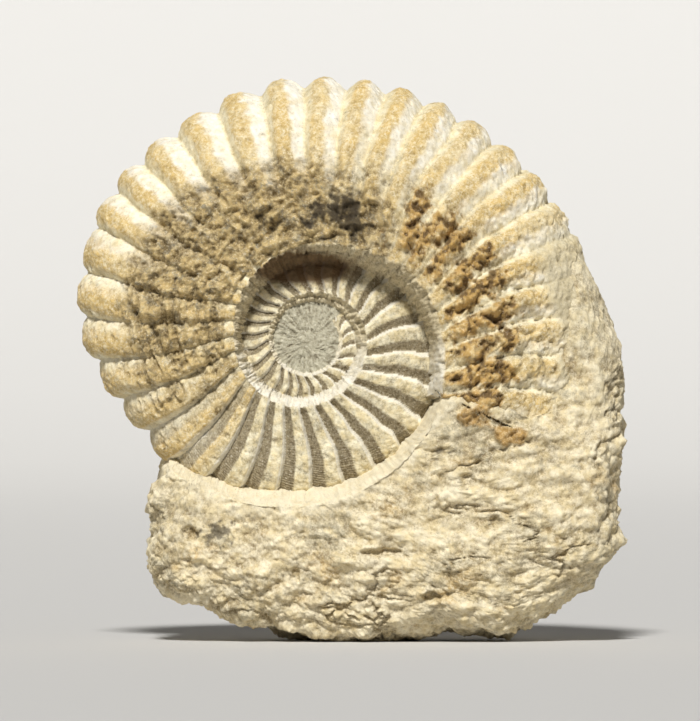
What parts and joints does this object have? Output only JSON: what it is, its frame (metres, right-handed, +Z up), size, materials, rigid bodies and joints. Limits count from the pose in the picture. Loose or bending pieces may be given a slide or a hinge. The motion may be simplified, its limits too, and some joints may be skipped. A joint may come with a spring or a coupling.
{
  "type": "fossil ammonite",
  "caption": "Coiled, strongly ribbed ammonite fossil, partly freed from the rough limestone block that it is set in and that stands upright on a small flat spot.",
  "frame": {"origin": "on the ground, below the middle of the specimen's box", "axes": "+Z up, the face of the coil looks towards -Y, and +X is to the right when that face is looked at"},
  "size_m": [0.1367, 0.0482, 0.1409],
  "materials": {
    "fossil_limestone": "matte, ochre crests and chalky grooves",
    "matrix_limestone": "matte, rough and layered"
  },
  "bodies": {
    "root": {"ammonite": "fossil_limestone", "matrix": "matrix_limestone"}
  },
  "joints": []
}
